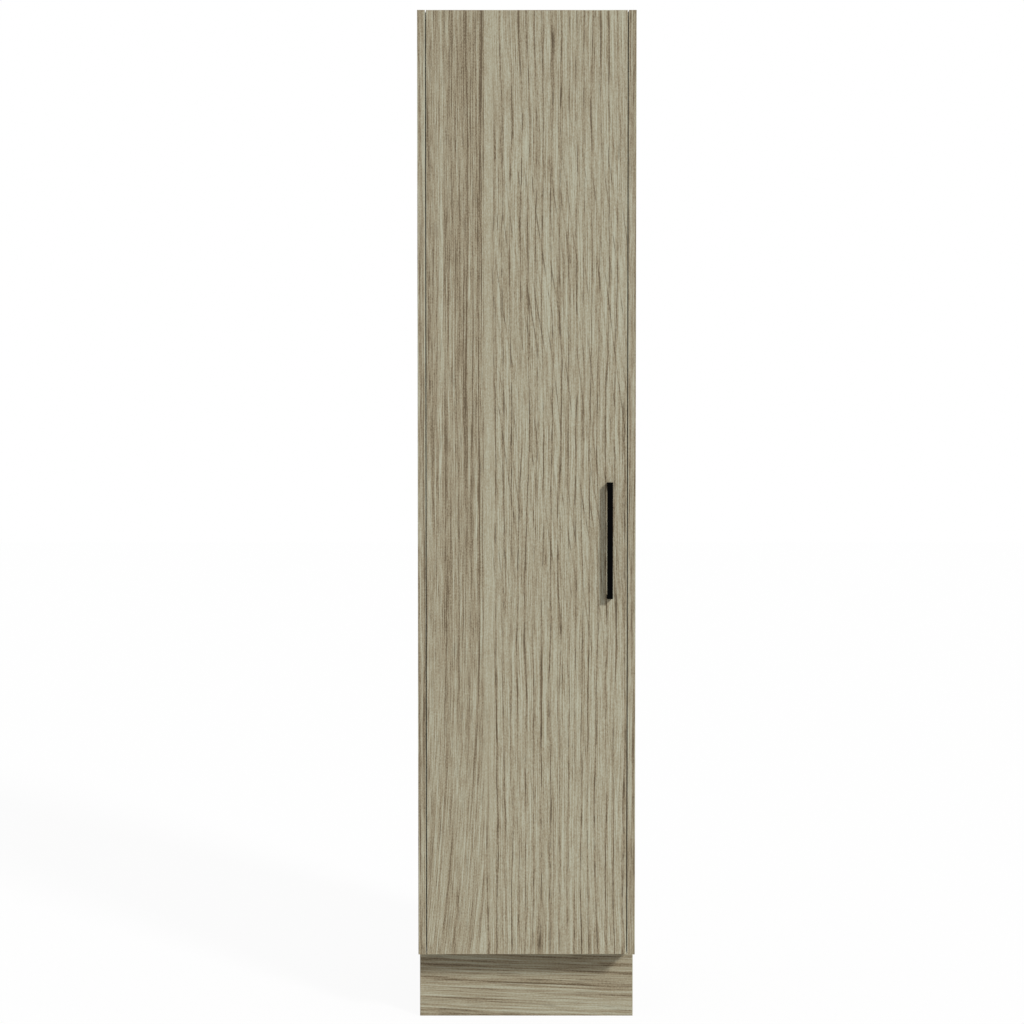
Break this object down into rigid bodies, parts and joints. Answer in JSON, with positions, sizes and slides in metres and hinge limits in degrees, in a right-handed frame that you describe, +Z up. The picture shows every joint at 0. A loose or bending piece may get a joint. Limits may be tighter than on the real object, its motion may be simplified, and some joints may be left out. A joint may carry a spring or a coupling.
{
  "type": "broom cupboard",
  "caption": "Tall narrow broom cupboard in wood-grain board: inset door on concealed hinges, black bar handle, high shelf, levelling feet and a set-back kickboard.",
  "frame": {"origin": "on the floor, at the middle of the bounding box", "axes": "+Z up, the door faces -Y, +X to the right as seen from the front"},
  "size_m": [0.45, 0.6, 2.1],
  "materials": {
    "wood_decor": "matt wood-grain laminate on board",
    "white_board": "matt white laminate on board",
    "black_metal": "satin black powder coat",
    "plated_steel": "nickel-plated",
    "black_plastic": "moulded plastic, fine grain",
    "beech": "bare turned beech",
    "soft_pad": "clear soft pad"
  },
  "bodies": {
    "carcass": {"arm_pins": "plated_steel", "arm_screws": "plated_steel", "back_panel": "white_board", "bottom_panel": "white_board", "bottom_panel_edging": "white_board", "cam_bolts": "plated_steel", "cam_discs": "plated_steel", "dowels": "beech", "fixed_shelf": "white_board", "fixed_shelf_edging": "white_board", "fixing_rail_lower": "white_board", "fixing_rail_upper": "white_board", "hinge_arm_1": "plated_steel", "hinge_arm_2": "plated_steel", "hinge_arm_3": "plated_steel", "hinge_arm_4": "plated_steel", "hinge_plate_1": "plated_steel", "hinge_plate_2": "plated_steel", "hinge_plate_3": "plated_steel", "hinge_plate_4": "plated_steel", "kick_clip_front_left": "black_plastic", "kick_clip_front_right": "black_plastic", "kick_edging_left": "wood_decor", "kick_edging_right": "wood_decor", "kickboard": "wood_decor", "leg_screws": "plated_steel", "leg_socket_back_left": "black_plastic", "leg_socket_back_right": "black_plastic", "leg_socket_front_left": "black_plastic", "leg_socket_front_right": "black_plastic", "plate_screws": "plated_steel", "side_edging_left": "wood_decor", "side_edging_right": "wood_decor", "side_panel_left": "wood_decor", "side_panel_right": "wood_decor", "top_panel": "white_board", "top_panel_edging": "white_board"},
    "hinge_links": {"hinge_link_1": "plated_steel", "hinge_link_2": "plated_steel", "hinge_link_3": "plated_steel", "hinge_link_4": "plated_steel"},
    "door": {"cup_pins": "plated_steel", "cup_screws": "plated_steel", "door_bumpers": "soft_pad", "door_edging_bottom": "wood_decor", "door_edging_left": "wood_decor", "door_edging_right": "wood_decor", "door_edging_top": "wood_decor", "door_panel": "wood_decor", "handle": "black_metal", "handle_screws": "plated_steel", "hinge_cup_1": "plated_steel", "hinge_cup_2": "plated_steel", "hinge_cup_3": "plated_steel", "hinge_cup_4": "plated_steel"},
    "leg_foot_back_left": {"leg_foot_back_left": "black_plastic"},
    "leg_foot_back_right": {"leg_foot_back_right": "black_plastic"},
    "leg_foot_front_left": {"leg_foot_front_left": "black_plastic"},
    "leg_foot_front_right": {"leg_foot_front_right": "black_plastic"}
  },
  "joints": [
    {"name": "link_turn", "type": "hinge", "parent": "carcass", "child": "hinge_links", "pos_m": [-0.172, -0.2594, 0.15], "axis": [0, 0, 1], "range_deg": [0, 61]},
    {"name": "door_swing", "type": "hinge", "parent": "hinge_links", "child": "door", "pos_m": [-0.197, -0.26735, 0.15], "axis": [0, 0, -1], "range_deg": [0, 155.8]},
    {"name": "foot_height_back_left", "type": "slide", "parent": "carcass", "child": "leg_foot_back_left", "axis": [0, 0, -1], "range_m": [0, 0.02]},
    {"name": "foot_height_back_right", "type": "slide", "parent": "carcass", "child": "leg_foot_back_right", "axis": [0, 0, -1], "range_m": [0, 0.02]},
    {"name": "foot_height_front_left", "type": "slide", "parent": "carcass", "child": "leg_foot_front_left", "axis": [0, 0, -1], "range_m": [0, 0.02]},
    {"name": "foot_height_front_right", "type": "slide", "parent": "carcass", "child": "leg_foot_front_right", "axis": [0, 0, -1], "range_m": [0, 0.02]}
  ],
  "couplings": [
    {"joint": "link_turn", "follows": "door_swing", "ratio": 0.39024}
  ]
}
